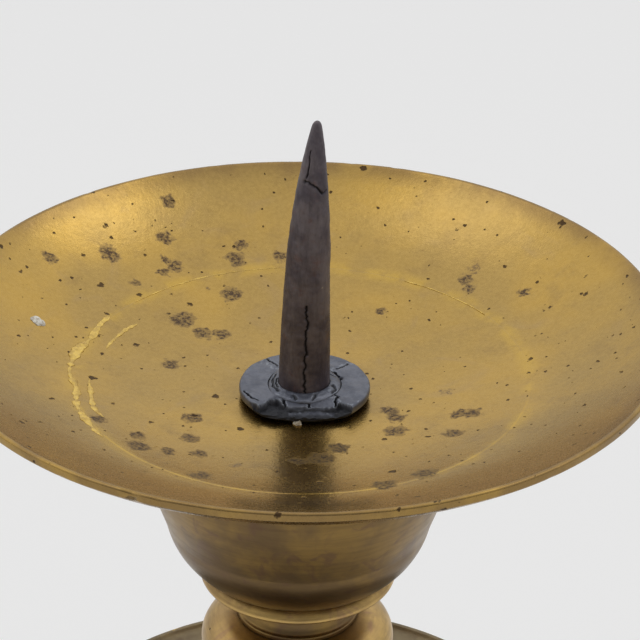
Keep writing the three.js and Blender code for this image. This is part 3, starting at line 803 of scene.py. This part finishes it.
# Cracks in the washer's upper face as (x, y) in mm from its middle.
WASHER_CRACKS = [
    [(-13.3, -3.4), (-12.3, -5.4), (-10.2, -7.6)],
    [(-4.6, -6.6), (-4.0, -8.8)],
    [(0.9, -7.9), (1.2, -9.4)],
    [(6.4, -4.6), (7.5, -5.6), (6.6, -7.4), (6.8, -9.0)],
    [(-8.6, 11.4), (-6.2, 8.0)],
    [(6.6, 5.0), (7.6, 3.4)],
    [(9.6, 9.2), (7.4, 6.8)],
]
WASHER_PIT = (7.9, 2.6)


def make_washer(material):
    foot, top, _ = span_of("flange_washer")
    radius = WASHER_RADIUS
    points = outline(
        (WASHER_HOLE, foot), (WASHER_FOOT, foot),
        ((radius - 0.7, foot + 0.3), (radius, foot + 1.0), (radius, foot + 1.8)),
        (radius, top - 0.35), (radius - 0.35, top), (WASHER_HOLE, top),
    )

    def shape(r, a, z):
        front = np.clip(-np.sin(a), 1e-3, 1)
        flat = np.minimum(1, WASHER_FLAT / front)
        broken = np.clip((1 - flat) * 12, 0, 1)
        strata = np.stack([a * 9, z * 2.6], 1)
        ragged = 0.30 * lattice_noise(strata, 1.9, 31) + 0.16 * lattice_noise(strata, 0.7, 32)
        wobble = 0.14 * lattice_noise(np.stack([np.cos(a) * 14, np.sin(a) * 14], 1), 4, 33)
        share = np.clip((r - WASHER_HOLE) / (radius - WASHER_HOLE), 0, 1)
        r = WASHER_HOLE + (r - WASHER_HOLE) * flat + share * (wobble + broken * ragged)
        x, y = r * np.cos(a), r * np.sin(a)
        places = np.stack([x, y, z], 1)
        rough = 0.45 * lattice_noise(places, 1.5, 34) + 0.2 * lattice_noise(places, 0.6, 38)
        edge = np.interp(x, *np.array(WASHER_BREAK).T) + rough
        fallen = np.clip((edge - y) / 0.5, 0, 1)
        fallen = fallen * fallen * (3 - 2 * fallen)
        slab = np.clip((-y - 6.3) / 3.6, 0, 1) * (np.abs(x - 1.0) < 5.9)
        upper = np.clip((z - foot) / (top - foot), 0, 1) ** 2
        gaps = cracked(x, y, WASHER_CRACKS, 0.2, 35)
        pit = np.hypot(x - WASHER_PIT[0], y - WASHER_PIT[1])
        gaps = np.maximum(gaps, np.exp(-(pit / 0.55) ** 2)) * upper
        lumps = 0.11 * lattice_noise(places, 3, 36) + (0.05 + 0.3 * fallen) * lattice_noise(places, 1, 37)
        z = z + upper * (lumps - 0.85 * gaps - 1.35 * fallen - 0.65 * slab * (1 - fallen))
        # Painted shade: the broken-off lower layer is darkened, less so on the lit shelf below the slab, and
        # so is the lowest 1.3 mm of the side; this is stored with the cracks.
        shelf = np.exp(-((y + 11.0) / 0.6) ** 2) * (np.abs(x - 1.5) < 5)
        under = np.clip((foot + 1.3 - z) / 1.3, 0, 1)
        seam = np.exp(-((edge - 0.55 - y) / 0.4) ** 2) * (y < -6)
        dark = np.maximum(0.88 * fallen * (1 - 0.75 * shelf), 0.6 * under)
        gaps = np.maximum(gaps, 0.97 * seam * (0.35 + 0.65 * (lattice_noise(places, 2.6, 39) > -0.45)))
        return r, a, z, np.maximum(gaps, dark)

    low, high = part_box("flange_washer")
    centre = ((low.x + high.x) / 2 / MM + WASHER_SET, 0)
    washer = turned("flange_washer_skin", softened(points, 0.18, 0.16), 440, centre, shape=shape)
    return place_piece(washer, "flange_washer", "lead", material)


PACKING_CRACKS = [
    [(-6.6, 3.4), (-7.3, 1.0), (-7.0, -1.8), (-5.6, -4.2)],
    [(-6.0, 1.0), (-6.3, -1.0), (-5.7, -2.8)],
    [(5.9, -1.8), (6.9, -3.0), (6.3, -4.6)],
    [(-2.6, -6.2), (-1.8, -7.6)],
    [(2.4, -6.2), (2.0, -7.6)],
    [(6.0, 3.6), (7.4, 3.0)],
]


def make_packing(material):
    foot, top, _ = span_of("collar_packing")
    inner, outer = SPIKE_RADIUS + 0.12, WASHER_HOLE + 0.3
    points = outline(
        (inner, foot), (outer, foot), (outer, top - 1.1),
        ((outer, top - 0.7), (outer - 0.4, top - 0.5), (outer - 1.1, top - 0.3)), (inner, top),
    )

    def shape(r, a, z):
        x, y = r * np.cos(a), r * np.sin(a)
        places = np.stack([x, y, z], 1)
        upper = np.clip((z - foot - 1.5) / (top - foot - 1.5), 0, 1)
        gaps = cracked(x, y, PACKING_CRACKS, 0.3, 41) * upper
        lumps = 0.22 * lattice_noise(places, 1.6, 42) + 0.1 * lattice_noise(places, 0.6, 43)
        side = np.clip((r - inner) / (outer - inner), 0, 1)
        r = r - side * np.clip(0.45 * np.cos(a) ** 2 * (0.6 + lattice_noise(places, 3, 44)), 0, 0.5)
        return r, a, z + upper * (lumps - 0.7 * gaps) * (0.3 + 0.7 * side), gaps

    low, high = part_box("collar_packing")
    centre = ((low.x + high.x) / 2 / MM, 0)
    packing = turned("collar_packing_skin", softened(points, 0.15, 0.2), 260, centre, shape=shape)
    return place_piece(packing, "collar_packing", "lead", material)


# ---------------------------------------------------------------- the stem

def bored(bottom, top, *side):
    """An outline with flat ends and a bore. side runs from the foot's outer edge to the head's."""
    return outline((BORE, bottom), *side, (BORE, top))


def cup_side(z, top, foot, waist_radius, mouth, core):
    waist = z + 13.1
    floor = z + 12
    return [
        (foot, z), ((25.6, z + 3), (29.1, waist - 5.5), (waist_radius, waist)),
        ((31.8, waist + 5.3), (36, waist + 15.3), (mouth, top)),
        (core, top), (core, floor + 6), ((core, floor + 2), (core - 2, floor), (core - 6, floor)),
        (BORE, floor),
    ]


def collar_side(z, top):
    return [(22.0, z), (22.3, z + 0.4), ((22.35, z + 1.3), (21.7, z + 2.2), (20.7, top))]


def spool_side(z, top, foot, waist, head):
    land = (top - z) * 0.12
    middle = z + (top - z) * 0.6
    return [
        (foot, z), (foot, z + land), ((waist, z + land), (waist, z + (top - z) * 0.45), (waist, middle)),
        ((waist, top - land * 1.7), ((waist + head) / 2, top - land), (head, top - land)), (head, top),
    ]


def knop_side(z, top, radius, land):
    rise = (top - z) * 0.2
    middle = (z + top) / 2
    return [
        (land, z), ((radius * 0.86, z), (radius, z + rise), (radius, middle)),
        ((radius, top - rise), (radius * 0.86, top), (land, top)),
    ]


def bead_side(z, top, radius, land):
    return [(land, z), ((radius + 0.6, z), (radius + 0.6, top), (land, top))]


def disc_side(z, top, radius, hub):
    lip = z + 5.4
    plate = lip - 1.4
    return [
        (hub, z), ((hub + 1, plate - 4.5), (hub + 6, plate - 2.7), (radius * 0.62, plate - 2.6)),
        (radius - 5, plate - 2), ((radius - 2, plate - 2), (radius - 0.4, lip - 2), (radius, lip - 1.4)),
        (radius, lip), (radius - 1, lip),
        ((radius - 2, plate + 0.5), (radius - 4, plate), (radius - 6, plate)),
        (radius * 0.62, plate + 0.6), ((hub + 6, plate + 0.9), (hub + 1, plate + 2), (hub, top)),
    ]


def baluster_side(z, top, radius, foot, neck, head):
    tall = top - z
    return [
        (foot, z), (foot, z + tall * 0.03),
        ((foot * 0.8, z + tall * 0.035), (foot * 0.74, z + tall * 0.055), (foot * 0.76, z + tall * 0.08)),
        ((radius * 0.8, z + tall * 0.14), (radius, z + tall * 0.22), (radius, z + tall * 0.34)),
        ((radius, z + tall * 0.56), (neck + 1, z + tall * 0.66), (neck, z + tall * 0.9)),
        ((neck, z + tall * 0.935), (neck + 1.5, z + tall * 0.96), (head, z + tall * 0.965)),
        (head, top),
    ]


def dome_side(z, top, radius, wall):
    tall = top - z
    inner = radius - wall - 3
    under = [
        (BORE, top - wall * 2), (radius * 0.26, z + tall * 0.92 - wall),
        ((radius * 0.42, z + tall * 0.9 - wall), (radius * 0.56, z + tall * 0.8),
         (radius * 0.58, z + tall / 2)),
        ((radius * 0.6, z + tall * 0.26), (radius * 0.76, z + 6), (inner, z + 4)), (inner, z),
    ]
    over = [
        (radius, z), (radius, z + 3),
        ((radius - 0.5, z + 5.5), (radius * 0.96, z + 7.5), (radius * 0.93, z + 8)),
        ((radius * 0.76, z + 11), (radius * 0.66, z + tall * 0.3), (radius * 0.62, z + tall * 0.5)),
        (radius * 0.65, z + tall * 0.53), (radius * 0.65, z + tall * 0.57),
        ((radius * 0.6, z + tall * 0.86), (radius * 0.44, z + tall * 0.9), (radius * 0.26, z + tall * 0.92)),
        (radius * 0.24, top), (BORE, top),
    ]
    return outline((inner, z), *over, *under)


def make_stem(stem, lit_copy, dull):
    """Each turned section: its node, its outline, its slot and material."""
    cup = {"foot": 21, "waist_radius": 30.1, "mouth": 38, "core": 21}
    neck = {"foot": 14, "waist": 12.5, "head": 17}
    trumpet = {"foot": 22, "waist": 11.5, "head": 15}
    base_neck = {"foot": 21, "waist": 15, "head": 18}
    baluster = {"radius": 26, "foot": 17, "neck": 11, "head": 15}
    sections = [
        ("bell_cup", cup_side, cup, "stem_brass", stem),
        # The collar and upper knop take the brighter, painted-light copy of the stem brass.
        ("cup_collar", collar_side, {}, "stem_brass", lit_copy),
        ("neck_spool", spool_side, neck, "stem_brass", stem),
        ("upper_knop", knop_side, {"radius": 22.1, "land": 14}, "stem_brass", lit_copy),
        ("trumpet_spool", spool_side, trumpet, "stem_brass", stem),
        ("drip_disc", disc_side, {"radius": 59, "hub": 24}, "dull_brass", dull),
        ("disc_ring", bead_side, {"radius": 21, "land": 17}, "stem_brass", stem),
        ("baluster", baluster_side, baluster, "stem_brass", stem),
        ("baluster_ring", bead_side, {"radius": 24, "land": 19}, "stem_brass", stem),
        ("lower_knop", knop_side, {"radius": 29, "land": 18}, "stem_brass", stem),
        ("base_neck", spool_side, base_neck, "stem_brass", stem),
    ]
    for number, (node, side, sizes, slot, material) in enumerate(sections):
        low, high, radius = span_of(node)
        moves = side(low, high, **sizes)
        points = outline((BORE, low), *moves) if node == "bell_cup" else bored(low, high, *moves)
        segments = 360 if radius > 50 else 220
        skin = cast_skin(0.05, 9, 60 + 3 * number)
        piece = turned(f"{node}_skin", softened(points, 0.22, 1.0), segments, middle_of(node), shape=skin)
        place_piece(piece, node, slot, material)


# ---------------------------------------------------------------- the base

# Sizes in mm that the CAD's boxes don't show.
DOME_WALL = 4
BASE_HOLE = 60
FOOT_RADIUS = 13
FOOT_NUT_WIDTH = 11
STUD_RADIUS = 3
STUD_PITCH = 1.0
ROD_RADIUS = 4
ROD_NUT_WIDTH = 16
ROD_WASHER_RADIUS = 11
ROD_PITCH = 1.5
ROD_THREAD_END = 34

def threads(radius, start, end, pitch, depth):
    """Cuts a screw thread into the points of a cylinder between two heights."""
    def move(r, a, z):
        turn = z / pitch - a / (2 * math.pi)
        wave = np.abs((turn % 1) - 0.5) * 2
        fade = np.clip(np.minimum(z - start, end - z) / pitch, 0, 1)
        cut = depth * wave * fade * (np.abs(r - radius) < depth * 2)
        return r - cut, a, z, None
    return move


def thread_run(radius, start, end, spacing=0.16):
    return [(radius, z) for z in np.arange(start, end, spacing)]


def make_base(stem, dull, iron):
    low, high, radius = span_of("base_dome")
    points = softened(dome_side(low, high, radius, DOME_WALL), 0.35, 1.3)
    dome = turned("base_dome_skin", points, 330, shape=cast_skin(0.07, 14, 101))
    place_piece(dome, "base_dome", "dull_brass", dull)

    low, high, radius = span_of("base_ring")
    half = (high - low) / 2
    points = outline(
        (BASE_HOLE, low), (radius - 2, low),
        ((radius - 0.7, low), (radius, low + half * 0.5), (radius, low + half)),
        ((radius, high - half * 0.5), (radius - 0.7, high), (radius - 2, high)), (BASE_HOLE, high),
    )
    ring = turned("base_ring_skin", softened(points, 0.3, 1.3), 400, shape=cast_skin(0.06, 11, 105))
    place_piece(ring, "base_ring", "dull_brass", dull)

    for number in (1, 2, 3):
        make_foot(number, stem)
        make_nut(f"foot_nut_{number}", FOOT_NUT_WIDTH, STUD_RADIUS + 0.15, iron)


def make_foot(number, material):
    node = f"foot_{number}"
    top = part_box(node)[1].z / MM
    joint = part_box("base_ring")[0].z / MM
    radius = FOOT_RADIUS
    bun = softened(outline(
        (0, 0), (7, 0), ((radius * 0.92, 0), (radius, joint * 0.16), (radius, joint * 0.36)),
        ((radius, joint * 0.6), (radius * 0.8, joint * 0.7), (7.5, joint * 0.74)), (7.5, joint * 0.84),
        (radius * 0.78, joint * 0.88), (radius * 0.78, joint), (STUD_RADIUS + 0.2, joint),
    ), 0.25, 0.6, closed=False)
    points = np.vstack([bun, thread_run(STUD_RADIUS, joint + 0.1, top - 0.6), [(2.5, top), (0, top)]])
    cut = threads(STUD_RADIUS, joint + 0.4, top - 0.5, STUD_PITCH, 0.32)
    foot = turned(f"{node}_skin", points, 120, middle_of(node), closed=False, shape=cut)
    place_piece(foot, node, "stem_brass", material)


def make_nut(node, width, hole, material):
    """A square nut with its top corners turned off."""
    low, high = (corner.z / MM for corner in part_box(node))
    corner = width / math.sqrt(2)
    points = outline((hole, low), (corner, low), (corner, high), (hole + 0.4, high), (hole, high - 0.4))
    flat = width * 0.48

    def shape(r, a, z):
        power = 14
        side = width / 2 / (np.abs(np.cos(a)) ** power + np.abs(np.sin(a)) ** power) ** (1 / power)
        r = np.where(r > hole + 0.5, hole + (r - hole) * (side - hole) / (corner - hole), r)
        over = np.clip(r - flat, 0, None) * 0.55
        z = np.clip(z, low + over * 0.6, high - over)
        places = np.stack([r * np.cos(a), r * np.sin(a), z], 1)
        return r + 0.05 * lattice_noise(places, 2, 77), a, z, None

    nut = turned(f"{node}_skin", softened(points, 0.12, 0.35), 160, middle_of(node), shape=shape)
    place_piece(nut, node, "dark_iron", material)


def make_tie(material):
    """The rod, its washer and nut, and the bar that they pull against."""
    low, high = (corner.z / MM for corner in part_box("tie_rod"))
    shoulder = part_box("drip_pan")[0].z / MM - 4
    end = ROD_THREAD_END
    points = np.array([
        (0, low), (2.9, low), (3.5, low + 0.25), (3.9, low + 0.8), *thread_run(ROD_RADIUS, low + 1.0, end),
        (ROD_RADIUS, end + 0.1), (ROD_RADIUS, shoulder), (3, shoulder + 0.1), (3, high - 0.4),
        (2.6, high), (0, high),
    ])
    cut = threads(ROD_RADIUS, low + 0.9, end, ROD_PITCH, 0.45)
    rod = turned("tie_rod_skin", points, 72, closed=False, shape=cut)
    place_piece(rod, "tie_rod", "dark_iron", material)
    make_nut("rod_nut", ROD_NUT_WIDTH, ROD_RADIUS + 0.15, material)

    low, high, _ = span_of("rod_washer")
    radius = ROD_WASHER_RADIUS
    ring = outline((BORE, low), (radius, low), (radius, high), (BORE, high))
    washer = turned("rod_washer_skin", softened(ring, 0.15, 0.6), 160, shape=cast_skin(0.07, 3, 111))
    place_piece(washer, "rod_washer", "dark_iron", material)

    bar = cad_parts["bridge_bar"].copy()
    bar.data = bar.data.copy()
    bar.name = "bridge_bar_skin"
    for key in list(bar.keys()):
        del bar[key]
    bar.data.materials.clear()
    bpy.context.scene.collection.objects.link(bar)
    work = bmesh.new()
    work.from_mesh(bar.data)
    bmesh.ops.remove_doubles(work, verts=work.verts, dist=1e-5)
    bmesh.ops.dissolve_limit(work, angle_limit=0.02, verts=work.verts, edges=work.edges)
    sharp = [e for e in work.edges if len(e.link_faces) == 2 and e.calc_face_angle(0) > 0.7]
    bmesh.ops.bevel(work, geom=sharp, offset=0.7 * MM, segments=3, affect="EDGES", profile=0.5)
    work.to_mesh(bar.data)
    work.free()
    bar.data.polygons.foreach_set("use_smooth", [False] * len(bar.data.polygons))
    place_piece(bar, "bridge_bar", "dark_iron", material)


# ---------------------------------------------------------------- the whole

def build():
    make_camera()
    make_stage()
    brass = pan_brass()
    stem = stem_brass("stem_brass", (0.27, 0.17, 0.055), (0.17, 0.11, 0.05), (0.15, 0.085, 0.055))
    # Painted light: a brighter copy of the stem brass for the collar and upper knop, which catch the light
    # from above.
    lit_copy = stem_brass("lit_brass_copy", (0.60, 0.40, 0.14), (0.44, 0.29, 0.12), (0.38, 0.22, 0.13))
    dull = stem_brass("dull_brass", (0.24, 0.19, 0.11), (0.17, 0.135, 0.085), (0.14, 0.10, 0.07))
    lead = grey_lead()
    iron = rusty_iron()
    lacquer = old_lacquer()
    wax = candle_wax()

    make_pan(brass)
    residue("lacquer_left", 150, 214, 51.0, 3.0, 0.3, 201, lacquer)
    residue("lacquer_low", 182, 203, 46.6, 1.6, 0.2, 271, lacquer)
    residue("lacquer_inner", 147, 164, 45.2, 1.7, 0.22, 211, lacquer)
    residue("lacquer_back", 96, 140, 50.4, 0.5, 0.08, 221, lacquer)
    residue("lacquer_right", 34, 62, 50.2, 0.4, 0.08, 231, lacquer)
    drop("wax_spot", 165, 61.5, 3.4, 0.5, 241, wax)
    drop("wax_crumb", 266, 12.6, 1.7, 0.9, 251, wax)
    make_spike(forged_iron())
    make_washer(lead)
    make_packing(lead)
    make_stem(stem, lit_copy, dull)
    make_base(stem, dull, iron)
    make_tie(iron)


build()
